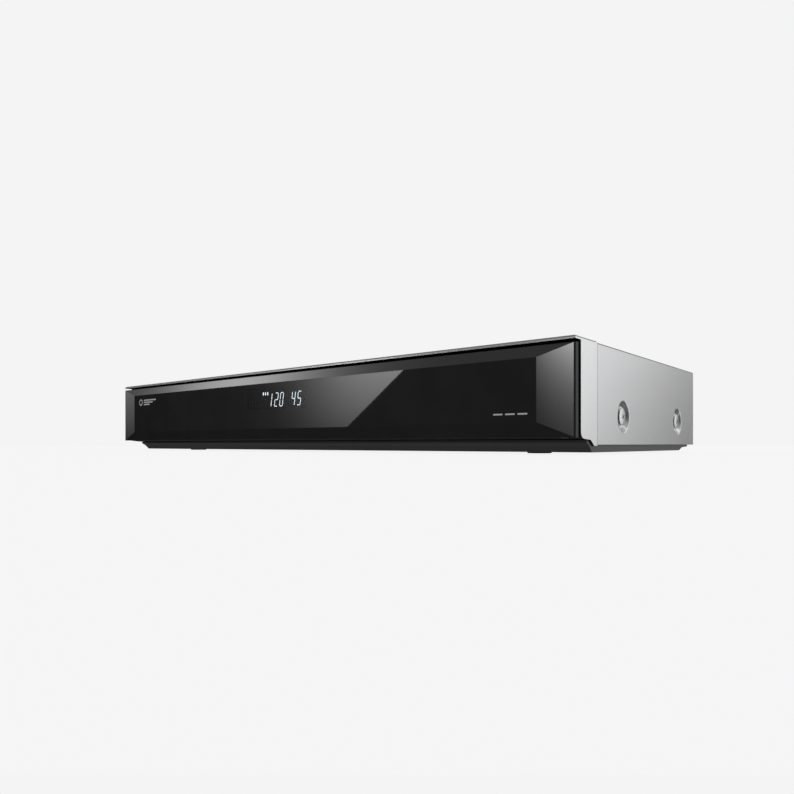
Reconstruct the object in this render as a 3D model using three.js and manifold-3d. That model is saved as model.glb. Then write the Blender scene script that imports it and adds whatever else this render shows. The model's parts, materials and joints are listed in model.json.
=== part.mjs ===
// Home hard-disk and disc recorder: a low wide box with a drop-down front flap, a motor tray,
// an optical drive, a hard disk, circuit boards, a fan and a panel of sockets at the back.
// Millimetres. Inside the recorder group X runs from the middle to the right, Y from the front
// edge of the top trim to the back, and Z up from the underside of the base pan.
import * as THREE from 'three';
import { mergeVertices } from 'three/addons/utils/BufferGeometryUtils.js';
import Module from 'manifold-3d';

const wasm = await Module();
wasm.setup();

// ---------------------------------------------------------------- driving dimensions
const halfWidth = 215;
const gap = 0.3;
const footHeight = 1.0;
const footRadius = 7;
const footPlaces = [[-172, 48], [172, 48], [-172, 152], [172, 152]];

const trimTop = 56.1;
const trimUnder = 54.4;
const trimRear = 26.1;
const cheekFront = 6.1;
const cheekWall = 2.2;

const coverTop = 55.6;
const coverRear = 201;
const coverBottom = 3.85;
const coverSheet = 0.8;
const coverFront = trimRear + gap;

const flapBottom = 7.4;
const flapTop = 52.8;
const flapBack = 3.3;
const paneFront = -1.6;
const paneWall = 2.4;
const bevelSide = 19.6;
const bevelTop = 5.9;
const bevelBottom = 7.5;
const hinge = { y: 4.6, z: 9.2, pin: 1.0, bore: 1.3, boss: 2.2, x: 207.8, knuckleHalf: 1.85 };
const hingeBossX = hinge.x - 4.2;

const fasciaFront = 6.3;
const fasciaWall = 2.0;
const fasciaHalf = halfWidth - cheekWall - gap;

const panHalf = 213.9;
const panSheet = 1.0;
const panWallTop = 8.8;
const panRear = 198.9;

const panelFront = 199.4;
const panelSheet = 1.0;
const rearScrewX = [-204, -40, 130, 204];
const rearScrewZ = 47;

const screwY = [62.7, 162.6];
const screwZ = 19.2;
const dish = { mouth: 9.0, floor: 6.0, depth: 2.4 };

const boardZ = 8;
const boardThick = 1.6;
const boardRear = 196.5;
const boardTop = boardZ + boardThick;

const drive = { x: -72, front: 30, rear: 184, spindleY: 92.5 };
const tray = { half: 66, front: 27, length: 150, bottom: 47.6, top: 51.6 };
const sled = { railX: 24, railZ: 36, rail: 1.5, front: 108.6, length: 18, travel: 36 };

const disk = { x0: 104, x1: 205.6, y0: 34, y1: 181, bottom: 14.4, split: 37.6 };
const platter = { x: 154.8, y: 86, radius: 47.5 };
const arm = { x: 178, y: 140, length: 45, parkedAngle: 191.7 };

const fan = { x: -125, z: 29, half: 20, y0: 188.7, y1: 198.9, bore: 18.6 };

const sockets = {
  power: { x0: -196, x1: -176, z0: 14, z1: 26 },
  lan: { x0: 10, x1: 26, z0: 10, z1: 24 },
  usb: { x0: 29, x1: 43, z0: 10, z1: 17 },
  hdmi: { x0: 45.5, x1: 61, z0: 10, z1: 16.4 },
  optical: { x0: 104, x1: 114, z0: 10, z1: 20 },
};
const aerial = { xs: [72, 90], z: 18, radius: 4.8, tip: 209, back: 198.9 };
const rearMouth = 200.9;
const frontMouth = 7.2;

const frontSockets = {
  usb: { x0: 62, x1: 76, z0: 16, z1: 23 },
  card: { x0: 84, x1: 110, z0: 16, z1: 20.6 },
  module: { x0: 121, x1: 180, z0: 14, z1: 23.6 },
};
const display = { x0: -33, x1: 34, z0: 26, z1: 44 };
const buttonX = { power: -182, eject: 182 };
const button = { halfX: 8, halfY: 3.2, y: 15, under: 53.2 };

// ---------------------------------------------------------------- geometry helpers
// Box between its lowest and its highest corner.
function block(low, high) {
  const size = high.map((value, i) => value - low[i]);
  const geometry = new THREE.BoxGeometry(...size);
  geometry.translate(...low.map((value, i) => value + size[i] / 2));
  return geometry;
}

function outline(points) {
  return new THREE.Shape(points.map(([u, v]) => new THREE.Vector2(u, v)));
}

function extrusion(depth) {
  return { depth, bevelEnabled: false, curveSegments: 8 };
}

// An outline of [y, z] points, carried along X from x0 to x1.
function alongX(shape, x0, x1) {
  const geometry = new THREE.ExtrudeGeometry(shape, extrusion(x1 - x0));
  const axes = [new THREE.Vector3(0, 1, 0), new THREE.Vector3(0, 0, 1), new THREE.Vector3(1, 0, 0)];
  geometry.applyMatrix4(new THREE.Matrix4().makeBasis(...axes));
  geometry.translate(x0, 0, 0);
  return geometry;
}

// An outline of [x, z] points, carried along Y from y0 to y1.
function alongY(shape, y0, y1) {
  const geometry = new THREE.ExtrudeGeometry(shape, extrusion(y1 - y0));
  const axes = [new THREE.Vector3(1, 0, 0), new THREE.Vector3(0, 0, 1), new THREE.Vector3(0, -1, 0)];
  geometry.applyMatrix4(new THREE.Matrix4().makeBasis(...axes));
  geometry.translate(0, y1, 0);
  return geometry;
}

// An outline of [x, y] points, carried up from z0 to z1.
function upright(shape, z0, z1) {
  const geometry = new THREE.ExtrudeGeometry(shape, extrusion(z1 - z0));
  geometry.translate(0, 0, z0);
  return geometry;
}

// A body turned about the Z axis from [radius, z] points, which run from axis to axis, upwards.
function turned(profile, segments = 24) {
  const points = profile.map(([radius, height]) => new THREE.Vector2(radius, height));
  const geometry = new THREE.LatheGeometry(points, segments);
  geometry.rotateX(Math.PI / 2);
  return geometry;
}

// A straight round rod from z = 0 up to z = length.
function rod(radius, length, segments = 24) {
  return turned([[0, 0], [radius, 0], [radius, length], [0, length]], segments);
}

function rodAlongX(radius, x0, x1, segments = 16) {
  return rod(radius, x1 - x0, segments).rotateY(Math.PI / 2).translate(x0, 0, 0);
}

function rodAlongY(radius, y0, y1, segments = 24) {
  return rod(radius, y1 - y0, segments).rotateX(-Math.PI / 2).translate(0, y0, 0);
}

// Cutter for a rectangular opening through an upright plate, grown by a margin on every side.
function window({ x0, x1, z0, z1 }, y0, y1, margin = gap) {
  return block([x0 - margin, y0 - 1, z0 - margin], [x1 + margin, y1 + 1, z1 + margin]);
}

// A closed mesh as a solid that can be cut and joined.
function toSolid(geometry) {
  const bare = geometry.clone();
  bare.deleteAttribute('normal');
  bare.deleteAttribute('uv');
  const merged = mergeVertices(bare, 1e-4);
  const corners = merged.index.array;
  const kept = [];
  for (let i = 0; i < corners.length; i += 3) {
    const [a, b, c] = [corners[i], corners[i + 1], corners[i + 2]];
    if (a !== b && b !== c && a !== c) kept.push(a, b, c);
  }
  return new wasm.Manifold(new wasm.Mesh({
    numProp: 3,
    vertProperties: new Float32Array(merged.attributes.position.array),
    triVerts: new Uint32Array(kept),
  }));
}

function toGeometry(solid) {
  const mesh = solid.getMesh();
  const geometry = new THREE.BufferGeometry();
  geometry.setAttribute('position', new THREE.BufferAttribute(new Float32Array(mesh.vertProperties), 3));
  geometry.setIndex(new THREE.BufferAttribute(new Uint32Array(mesh.triVerts), 1));
  geometry.computeVertexNormals();
  return geometry;
}

function join(...pieces) {
  return toGeometry(pieces.map(toSolid).reduce((whole, piece) => whole.add(piece)));
}

function cut(body, ...tools) {
  return toGeometry(tools.map(toSolid).reduce((rest, tool) => rest.subtract(tool), toSolid(body)));
}

// ---------------------------------------------------------------- materials
function finish(color, roughness, metalness) {
  return () => new THREE.MeshStandardMaterial({ color, roughness, metalness });
}
const glossBlack = finish(0x141414, 0.08, 0.0);
const mattBlack = finish(0x1b1b1c, 0.6, 0.0);
const silverPlastic = finish(0xd4d6d8, 0.35, 0.3);
const silverMetal = finish(0xb8babc, 0.4, 0.8);
const darkSteel = finish(0x343536, 0.5, 0.6);
const bareSteel = finish(0xaeb2b6, 0.35, 0.9);
const aluminium = finish(0xc2c5c8, 0.4, 0.9);
const boardGreen = finish(0x1d5a3a, 0.5, 0.1);
const rubberBlack = finish(0x202020, 0.9, 0.0);
const copperTape = finish(0xc9a24a, 0.5, 0.2);
const glassDark = finish(0x0f1a1c, 0.1, 0.0);
const whitePlastic = finish(0xe2e0d8, 0.5, 0.0);
const mirrorDisk = finish(0xd8dadc, 0.08, 1.0);

// The origin stands on the floor under the middle of the whole object's box.
const recorder = new THREE.Group();
recorder.position.set(0, -(aerial.tip + paneFront) / 2, footHeight);

function add(name, geometry, material, x = 0, y = 0, z = 0) {
  const mesh = new THREE.Mesh(geometry, material());
  mesh.name = name;
  mesh.position.set(x, y, z);
  recorder.add(mesh);
}

// ---------------------------------------------------------------- casing
// Plate over the front with a chamfered upper edge, and a cheek down each side.
function frontTrim() {
  const chamfer = 0.8;
  const plate = outline([[0, trimUnder], [trimRear, trimUnder], [trimRear, trimTop],
    [chamfer, trimTop], [0, trimTop - chamfer]]);
  const toe = new THREE.Shape();
  toe.moveTo(cheekFront, trimUnder + 0.5);
  toe.lineTo(cheekFront, 10.5);
  toe.bezierCurveTo(cheekFront, 8.2, 8.0, 6.7, 11.2, 6.7);
  toe.lineTo(17.6, 6.35);
  toe.lineTo(22.2, 3.33);
  toe.lineTo(trimRear, 3.33);
  toe.lineTo(trimRear, trimUnder + 0.5);
  toe.closePath();
  const cheek = (x) => alongX(toe, x, x + cheekWall);
  const whole = join(alongX(plate, -halfWidth, halfWidth), cheek(-halfWidth), cheek(halfWidth - cheekWall));
  const holes = Object.values(buttonX).map((x) => block(
    [x - button.halfX - gap, button.y - button.halfY - gap, trimUnder - 1],
    [x + button.halfX + gap, button.y + button.halfY + gap, trimTop + 1]));
  return cut(whole, ...holes);
}

// Bent sheet over the top and down both sides, with two pressed screw dishes in each side.
function topCover() {
  const inner = halfWidth - coverSheet;
  const bend = 1.0;
  const wrap = outline([[-halfWidth, coverBottom], [-halfWidth, coverTop - bend],
    [-halfWidth + bend, coverTop], [halfWidth - bend, coverTop], [halfWidth, coverTop - bend],
    [halfWidth, coverBottom], [inner, coverBottom], [inner, coverTop - coverSheet],
    [-inner, coverTop - coverSheet], [-inner, coverBottom]]);
  const cups = [];
  const tools = [];
  for (const side of [-1, 1]) {
    for (const y of screwY) {
      const seat = (geometry) => geometry.rotateY(side * Math.PI / 2).translate(side * halfWidth, y, screwZ);
      const { mouth, floor, depth } = dish;
      const wall = coverSheet;
      cups.push(seat(turned([[0, -depth - wall], [floor + 0.6, -depth - wall],
        [mouth + 0.6, -wall / 2], [0, -wall / 2]], 28)));
      tools.push(seat(turned([[0, -depth], [floor, -depth], [mouth, 0], [mouth, 0.5], [0, 0.5]], 28)));
      tools.push(seat(turned([[0, -depth - 2], [1.8, -depth - 2], [1.8, 0.5], [0, 0.5]], 16)));
    }
  }
  return cut(join(alongY(wrap, coverFront, coverRear), ...cups), ...tools);
}

// Shallow tray: sloped front edge, flat floor, stepped up towards the back, low side walls.
function basePan() {
  const outer = outline([[22, 0], [170.4, 0], [177.2, 2.0], [189.7, 2.6], [189.7, 4.3],
    [panRear, 4.3], [panRear, panWallTop], [18.9, panWallTop], [18.9, 3.0]]);
  const t = panSheet;
  const inner = outline([[22.4, t], [170.2, t], [177.0, 2.0 + t], [188.7, 2.6 + t], [188.7, 4.3 + t],
    [panRear + 1, 4.3 + t], [panRear + 1, panWallTop + 1], [18.9 + t, panWallTop + 1], [18.9 + t, 3.4]]);
  const cheekRoom = [-1, 1].map((side) => block(
    [side > 0 ? fasciaHalf : -panHalf - 1, 15, 3.0],
    [side > 0 ? panHalf + 1 : -fasciaHalf, coverFront, panWallTop + 1]));
  const footSeats = footPlaces.map(([x, y]) => rod(footRadius + 1, 0.4).translate(x, y, -0.1));
  return cut(alongX(outer, -panHalf, panHalf), alongX(inner, -panHalf + t, panHalf - t),
    ...cheekRoom, ...footSeats);
}

// Low rubber disc with a chamfered lower edge.
function foot() {
  const chamfer = 0.5;
  return turned([[0, -footHeight], [footRadius - chamfer, -footHeight], [footRadius, -footHeight + chamfer],
    [footRadius, 0], [0, 0]]);
}

// Flat rear panel with its socket windows, screw holes and the fan's slotted grille.
function rearPanel() {
  const half = panHalf - gap;
  const [y0, y1] = [panelFront, panelFront + panelSheet];
  const plate = block([-half, y0, 4.6], [half, y1, 54.3]);
  const tools = Object.values(sockets).map((socket) => window(socket, y0, y1));
  for (const x of aerial.xs) {
    tools.push(rodAlongY(aerial.radius + gap, y0 - 1, y1 + 1).translate(x, 0, aerial.z));
  }
  for (const x of rearScrewX) {
    tools.push(rodAlongY(1.8, y0 - 1, y1 + 1, 16).translate(x, 0, rearScrewZ));
  }
  const slots = 7;
  const pitch = 4.8;
  const slotHalf = 1.6;
  for (let i = 0; i < slots; i += 1) {
    const offset = (i - (slots - 1) / 2) * pitch;
    const reach = Math.sqrt(fan.bore ** 2 - offset ** 2) - 1.5;
    const x = fan.x + offset;
    const slot = { x0: x - slotHalf, x1: x + slotHalf, z0: fan.z - reach, z1: fan.z + reach };
    tools.push(window(slot, y0, y1, 0));
  }
  return cut(plate, ...tools);
}

// Pan-head screw along Z, the underside of its head at z = 0.
function screw(headRadius, headHeight, shank) {
  return turned([[0, -shank], [1.1, -shank], [1.5, -shank + 0.6], [1.5, 0], [headRadius, 0],
    [headRadius, headHeight * 0.5], [headRadius * 0.8, headHeight], [0, headHeight]], 16);
}

// ---------------------------------------------------------------- front
// Shell of the drop-down front: a proud pane with bevelled borders, and two hinge knuckles.
function frontFlap() {
  const rim = 3;
  const notchInner = 201;
  const half = hinge.knuckleHalf;
  const slab = block([-halfWidth, 0, flapBottom], [halfWidth, flapBack, flapTop]);
  const hollow = block([-halfWidth + rim, paneFront + paneWall, flapBottom + rim],
    [halfWidth - rim, flapBack + 1, flapTop - 2]);
  const notchMiddle = (notchInner + halfWidth - rim) / 2;
  const notchHalf = (halfWidth - rim - notchInner) / 2;
  const notch = (side) => block(
    [side * notchMiddle - notchHalf, paneFront + paneWall, flapBottom - 1],
    [side * notchMiddle + notchHalf, flapBack + 1, flapBottom + rim + 1]);
  const knuckle = (side) => join(
    rodAlongX(hinge.boss, -half, half, 20).translate(side * hinge.x, hinge.y, hinge.z),
    block([side * hinge.x - half, paneFront + paneWall - 0.2, hinge.z - 1.6],
      [side * hinge.x + half, hinge.y, hinge.z + 2.1]));
  const bore = (side) => rodAlongX(hinge.bore, -3, 3, 20).translate(side * hinge.x, hinge.y, hinge.z);
  const shell = cut(join(slab, raisedPane()), hollow, notch(-1), notch(1));
  return cut(join(shell, knuckle(-1), knuckle(1)), bore(-1), bore(1));
}

// Low pyramid frustum from the flap's outline to the smaller flat pane in front of it.
function raisedPane() {
  const outer = [[-halfWidth, flapBottom], [halfWidth, flapBottom],
    [halfWidth, flapTop], [-halfWidth, flapTop]];
  const paneX = halfWidth - bevelSide;
  const inner = [[-paneX, flapBottom + bevelBottom], [paneX, flapBottom + bevelBottom],
    [paneX, flapTop - bevelTop], [-paneX, flapTop - bevelTop]];
  const rows = [
    outer.map(([x, z]) => [x, 0.5, z]),
    outer.map(([x, z]) => [x, 0, z]),
    inner.map(([x, z]) => [x, paneFront, z]),
  ];
  const positions = rows.flat(2);
  const index = [0, 2, 1, 0, 3, 2];
  for (const row of [0, 4]) {
    for (let i = 0; i < 4; i += 1) {
      const next = (i + 1) % 4;
      index.push(row + i, row + next, row + 4 + next, row + i, row + 4 + next, row + 4 + i);
    }
  }
  index.push(8, 9, 10, 8, 10, 11);
  const geometry = new THREE.BufferGeometry();
  geometry.setAttribute('position', new THREE.BufferAttribute(new Float32Array(positions), 3));
  geometry.setIndex(index);
  geometry.computeVertexNormals();
  geometry.setAttribute('uv', new THREE.BufferAttribute(new Float32Array(rows.flat().length * 2), 2));
  return geometry;
}

// Fixed black front behind the flap, with its lower lip, hinge bosses and all its openings.
function fascia() {
  const [y0, y1] = [fasciaFront, fasciaFront + fasciaWall];
  const slotHalf = tray.half + 1.5;
  const room = 0.7;
  const traySlot = {
    x0: drive.x - slotHalf, x1: drive.x + slotHalf, z0: tray.bottom - room, z1: tray.top + room,
  };
  const plate = cut(block([-fasciaHalf, y0, 9.0], [fasciaHalf, y1, 54.1]),
    window(traySlot, y0, y1, 0), window(display, y0, y1, 0),
    ...Object.values(frontSockets).map((socket) => window(socket, y0, y1)));
  const lip = outline([[fasciaFront, 9.0], [11.0, 6.9], [18.3, 6.6], [18.3, 8.1], [11.2, 8.4],
    [fasciaFront + fasciaWall, 9.8], [fasciaFront, 9.8]]);
  const bosses = [-1, 1].map((side) => {
    const x = side * hingeBossX;
    return join(rodAlongX(hinge.boss, -2, 2, 20).translate(x, hinge.y, hinge.z),
      block([x - 2, hinge.y, hinge.z - 1.4], [x + 2, fasciaFront + 1, hinge.z + 2.1]));
  });
  const bores = [-1, 1].map((side) => rodAlongX(hinge.bore, -2.5, 2.5, 20)
    .translate(side * hingeBossX, hinge.y, hinge.z));
  const knuckleRooms = [-1, 1].map((side) => block(
    [side * hinge.x - hinge.knuckleHalf - gap, fasciaFront - 1, hinge.z - 2.9],
    [side * hinge.x + hinge.knuckleHalf + gap, hinge.y + hinge.boss + 0.5,
      hinge.z + hinge.boss + 0.6]));
  return cut(join(plate, alongX(lip, -fasciaHalf, fasciaHalf), ...bosses), ...bores, ...knuckleRooms);
}

// Pin pressed into the fascia's boss, its outer end turning in the flap's knuckle.
function hingePin() {
  return rodAlongX(hinge.pin, -6.0, hinge.knuckleHalf + 0.4, 16);
}

// Cap flush with the trim, a wider flange under the trim and a stem down to its switch.
function pushButton() {
  const { halfX, halfY, under } = button;
  return join(
    block([-halfX, -halfY, under], [halfX, halfY, trimTop]),
    block([-halfX - 2, -halfY - 1.5, under], [halfX + 2, halfY + 1.5, trimUnder - gap]),
    block([-1.5, -1.5, under - 1.2], [1.5, 1.5, under + 0.2]));
}

// Small board with the tact switch that a button presses.
function buttonBoard() {
  return join(block([-15, -5, 46.4], [15, 8, 48.0]), block([-3, -3, 47.9], [3, 3, 50.4]),
    rod(1.6, 0.7, 16).translate(0, 0, 50.3));
}

// Upright board behind the fascia, which carries the display and the front sockets.
function frontBoard() {
  return block([-58, 27.6, 10.4], [100, 29.2, 44.5]);
}

// Flat glass tube of the display with its row of leads and its back board.
function displayModule() {
  const { x0, x1, z0, z1 } = display;
  const side = 2;
  const rim = 1.2;
  const tube = block([x0 + side, 9, z0 + rim], [x1 - side, 14, z1 - rim]);
  const board = block([x0 + side + 3, 13.5, z0 + rim + 1.8], [x1 - side - 3, 15, z1 - rim - 1.8]);
  return join(tube, board);
}

// Open-fronted metal shell of a socket, its tongue, and solid behind the mouth.
function socketShell({ x0, x1, z0, z1 }, y0, y1, wall, depth, tongue) {
  const facesRear = depth > 0;
  const mouth = facesRear ? [y1 - depth, y1 + 1] : [y0 - 1, y0 - depth];
  const hollow = cut(block([x0, y0, z0], [x1, y1, z1]),
    block([x0 + wall, mouth[0], z0 + wall], [x1 - wall, mouth[1], z1 - wall]));
  if (!tongue) return hollow;
  const [low, high] = tongue;
  const reach = facesRear ? [y1 - depth - 0.5, y1 - 1.2] : [y0 + 1.2, y0 - depth + 0.5];
  return join(hollow, block([x0 + wall + 1, reach[0], z0 + low], [x1 - wall - 1, reach[1], z0 + high]));
}

// ---------------------------------------------------------------- optical drive
// Sliding disc carrier: a shallow well for the disc and a slot through it for hub and lens.
function discTray() {
  const y1 = tray.front + tray.length;
  const body = block([-tray.half, tray.front, tray.bottom], [tray.half, y1, tray.top]);
  const well = rod(60.8, 5, 56).translate(0, drive.spindleY, tray.top - 1.8);
  const innerWell = rod(40.6, 5, 40).translate(0, drive.spindleY, tray.top - 2.7);
  const hubHole = rod(19, 8, 28).translate(0, drive.spindleY, tray.bottom - 2);
  const lensSlot = block([-19, drive.spindleY, tray.bottom - 2], [19, drive.spindleY + 56, tray.top + 2]);
  return cut(body, well, innerWell, hubHole, lensSlot);
}

// Open box of the drive, with a bed for the tray along its top.
function driveFrame() {
  return cut(block([-72.5, drive.front, 14], [72.5, drive.rear, 52.2]),
    block([-66.6, drive.front - 1, 47.2], [66.6, drive.rear + 1, 53]),
    block([-61, drive.front + 4, 17], [61, drive.rear - 4, 48]));
}

// Bridge over the tray with the hole that its clamp turns in.
function driveBridge() {
  return cut(block([-72, 72, 52.6], [72, 113, 54.2]), rod(10.9, 4, 28).translate(0, drive.spindleY, 51.5));
}

// Round puck that presses the disc onto the turntable.
function discClamp() {
  return turned([[0, 51.9], [9.0, 51.9], [9.8, 52.1], [10.4, 52.9], [10.4, 54.2], [0, 54.2]], 28);
}

// Deck that carries the spindle motor and both lens rails, with a raised block at each rail end.
function loaderDeck() {
  const plate = cut(block([-50, 62, 27], [50, 170, 29]), block([-20, 112, 26], [20, 158, 30]));
  const ends = [];
  for (const side of [-1, 1]) {
    const x = side * sled.railX;
    ends.push(block([x - 4, 105.8, 28.5], [x + 4, 108.2, 39]));
    ends.push(block([x - 4, 163.4, 28.5], [x + 4, 166, 39]));
  }
  return join(plate, ...ends);
}

// Motor can with a bearing boss on its top.
function spindleMotor() {
  return turned([[0, 29.3], [13, 29.3], [13, 40.5], [11.5, 42], [4, 42], [4, 43], [0, 43]], 28);
}

// Turntable flange with the cone that centres a disc.
function turntable() {
  return turned([[0, 43.3], [12.5, 43.3], [12.5, 45.2], [7.4, 45.2], [6.6, 46.6], [3, 47.2], [0, 47.2]], 32);
}

// Polished guide rod of the lens carriage.
function sledRail() {
  return rodAlongY(sled.rail, 108.5, 163.1, 12);
}

// Lens carriage with a bore for each rail and the raised lens cup near its front edge.
function laserSled() {
  const y1 = sled.front + sled.length;
  const bores = [-1, 1].map((side) => rodAlongY(sled.rail + gap, sled.front - 1, y1 + 1, 12)
    .translate(side * sled.railX, 0, sled.railZ));
  return cut(join(block([-28, sled.front, 32.5], [28, y1, 39.5]),
    block([-14, sled.front + 0.5, 39], [14, y1 - 1, 43]),
    rod(3.4, 2.6, 20).translate(0, sled.front + 6, 42.5)), ...bores);
}

// ---------------------------------------------------------------- hard disk
// Folded cradle under the hard disk, with a flange up each side.
function diskBracket() {
  return alongY(outline([[101, 1.4], [102.4, 1.4], [102.4, 12.4], [207.2, 12.4], [207.2, 1.4],
    [208.6, 1.4], [208.6, 26], [207.2, 26], [207.2, 13.9], [102.4, 13.9], [102.4, 26], [101, 26]]),
  disk.y0 + 8, disk.y1 - 14);
}

// Cast tub with a round well for the platter and a bay for the arm.
function diskBase() {
  return cut(block([disk.x0, disk.y0, disk.bottom], [disk.x1, disk.y1, disk.split]),
    rod(platter.radius + 2, 30, 48).translate(platter.x, platter.y, 22),
    block([126, 116, 22], [200, 168, disk.split + 1]));
}

// Lid plate of the hard disk with a round raised field over the platter.
function diskLid() {
  const plate = block([disk.x0 + 0.5, disk.y0 + 0.5, disk.split + gap], [disk.x1 - 0.5, disk.y1 - 0.5, 39.3]);
  const raised = rod(platter.radius - 4, 1.3, 40).translate(platter.x, platter.y, 39.2);
  return join(plate, raised);
}

// One mirror platter on its hub.
function diskPlatter() {
  return turned([[0, 22.6], [12.5, 22.6], [12.5, 29], [platter.radius, 29], [platter.radius, 30.3],
    [13, 30.3], [13, 32], [0, 32]], 48);
}

// Pivot drum, a tapered arm over the platter and the coil plate behind the pivot.
function diskArm() {
  const reach = arm.length;
  const blade = upright(outline([[0, -6], [reach - 8, -2.6], [reach, -2.2], [reach, 2.2],
    [reach - 8, 2.6], [0, 6]]), 31.6, 33.2);
  const coil = upright(outline([[0, -6], [-15, -11], [-17, 0], [-15, 11], [0, 6]]), 30.6, 34.2);
  const whole = join(blade, coil, rod(8, 13, 24).translate(0, 0, 22.6));
  whole.rotateZ(THREE.MathUtils.degToRad(arm.parkedAngle));
  return whole;
}

// ---------------------------------------------------------------- boards and rear
// Main circuit board, with a tongue along the back that carries the optical socket.
function mainBoard() {
  return upright(outline([[8, 40], [99, 40], [99, 184], [120, 184], [120, boardRear], [8, boardRear]]),
    boardZ, boardTop);
}

// Row of upright fins on a base plate.
function heatSink() {
  const fins = 9;
  const pitch = 5;
  const points = [[0, 0], [(fins - 1) * pitch + 1.4, 0]];
  for (let i = fins - 1; i >= 0; i -= 1) {
    points.push([i * pitch + 1.4, 14], [i * pitch, 14]);
    if (i > 0) points.push([i * pitch, 3], [(i - 1) * pitch + 1.4, 3]);
  }
  return alongY(outline(points), 0, 40);
}

// Power supply board along the left side.
function powerBoard() {
  return block([-208, 40, boardZ], [-150, boardRear, boardTop]);
}

// Ferrite core with its taped winding standing proud on both sides.
function transformer() {
  return join(block([-17, -12, 0], [17, 12, 18]), block([-12, -17, 1.5], [12, 17, 16.5]));
}

// Standing can capacitor with a rolled upper edge.
function bulkCapacitor() {
  return turned([[0, 0], [11, 0], [11, 27.4], [10.2, 28.2], [0, 28.2]], 28);
}

// Mains inlet: a block with a two-lobed mouth and two contact pins standing in it.
function mainsInlet() {
  const { x0, x1, z0, z1 } = sockets.power;
  const middle = [(x0 + x1) / 2, (z0 + z1) / 2];
  const offset = 4.3;
  const floor = 189;
  const face = 201.4;
  const lobes = [-1, 1].map((side) => rodAlongY(3.9, floor, face + 4, 20)
    .translate(middle[0] + side * offset, 0, middle[1]));
  const mouth = join(...lobes, block([middle[0] - offset, floor, middle[1] - 3.4],
    [middle[0] + offset, face + 4, middle[1] + 3.4]));
  const pins = [-1, 1].map((side) => rodAlongY(1.15, floor - 1, face - 2.4, 12)
    .translate(middle[0] + side * offset, 0, middle[1]));
  return join(cut(block([x0, 180, z0], [x1, face, z1]), mouth), ...pins);
}

// Screened tuner can with a raised lid.
function tunerModule() {
  return join(block([64, 150, 9.9], [98, 198.6, 26]), block([68, 160, 25.5], [94, 190, 26.6]));
}

// Round coaxial socket with a bored end.
function aerialSocket() {
  const bore = [[0, 4], [1.4, 4], [1.4, 12], [0, 12]];
  const { radius } = aerial;
  const body = turned([[0, 0], [radius, 0], [radius, 9.8], [radius - 0.3, 10.1], [0, 10.1]]);
  const along = (geometry) => geometry.rotateX(-Math.PI / 2);
  return along(cut(body, turned(bore, 12)));
}

// Thin flat cable that rises from the main board and reaches the front board.
function ribbonCable() {
  const centre = new THREE.CubicBezierCurve(new THREE.Vector2(62, 10.4), new THREE.Vector2(40, 11),
    new THREE.Vector2(52, 24), new THREE.Vector2(29.6, 25));
  const steps = 14;
  const half = 0.25;
  const sides = [[], []];
  for (let i = 0; i <= steps; i += 1) {
    const point = centre.getPoint(i / steps);
    const along = centre.getTangent(i / steps);
    sides[0].push([point.x - along.y * half, point.y + along.x * half]);
    sides[1].unshift([point.x + along.y * half, point.y - along.x * half]);
  }
  return alongX(outline(sides.flat()), 10, 32);
}

// ---------------------------------------------------------------- fan
// Square fan housing with three struts that hold the motor disc.
function fanFrame() {
  const square = block([-fan.half, fan.y0, -fan.half], [fan.half, fan.y1, fan.half]);
  const ring = cut(square, rodAlongY(fan.bore, fan.y0 - 1, fan.y1 + 1, 40));
  const struts = [0, 1, 2].map((i) => block([-1.5, fan.y0, 0], [1.5, fan.y0 + 1.6, fan.bore + 1])
    .rotateY(i * Math.PI * 2 / 3));
  return join(ring, ...struts, rodAlongY(8, fan.y0, fan.y0 + 1.6, 24));
}

// Hub with seven pitched blades.
function fanRotor() {
  const blades = 7;
  const pieces = [rodAlongY(7.6, fan.y0 + 2, fan.y1 - 0.6, 24)];
  for (let i = 0; i < blades; i += 1) {
    const blade = block([-0.6, -4.2, 6.5], [0.6, 3.6, 17.8]);
    blade.rotateZ(0.7);
    blade.translate(0, (fan.y0 + fan.y1) / 2 + 0.7, 0);
    blade.rotateY(i * Math.PI * 2 / blades);
    pieces.push(blade);
  }
  return join(...pieces);
}

// ---------------------------------------------------------------- assembly
add('front_trim', frontTrim(), silverPlastic);
add('top_cover', topCover(), silverMetal);
add('base_pan', basePan(), darkSteel);
add('rear_panel', rearPanel(), silverMetal);
const footNames = ['foot_front_left', 'foot_front_right', 'foot_rear_left', 'foot_rear_right'];
footPlaces.forEach(([x, y], i) => add(footNames[i], foot(), rubberBlack, x, y, 0));
const coverScrewNames = { '-1': ['cover_screw_left_front', 'cover_screw_left_rear'],
  1: ['cover_screw_right_front', 'cover_screw_right_rear'] };
for (const side of [-1, 1]) {
  screwY.forEach((y, i) => {
    const head = screw(5.0, 1.2, 3.2).rotateY(side * Math.PI / 2);
    add(coverScrewNames[side][i], head, silverMetal, side * (halfWidth - dish.depth + gap), y, screwZ);
  });
}
rearScrewX.forEach((x, i) => {
  const head = screw(3.0, 1.0, 6).rotateX(-Math.PI / 2);
  add(`rear_screw_${i + 1}`, head, bareSteel, x, panelFront + panelSheet + gap, rearScrewZ);
});

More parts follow.
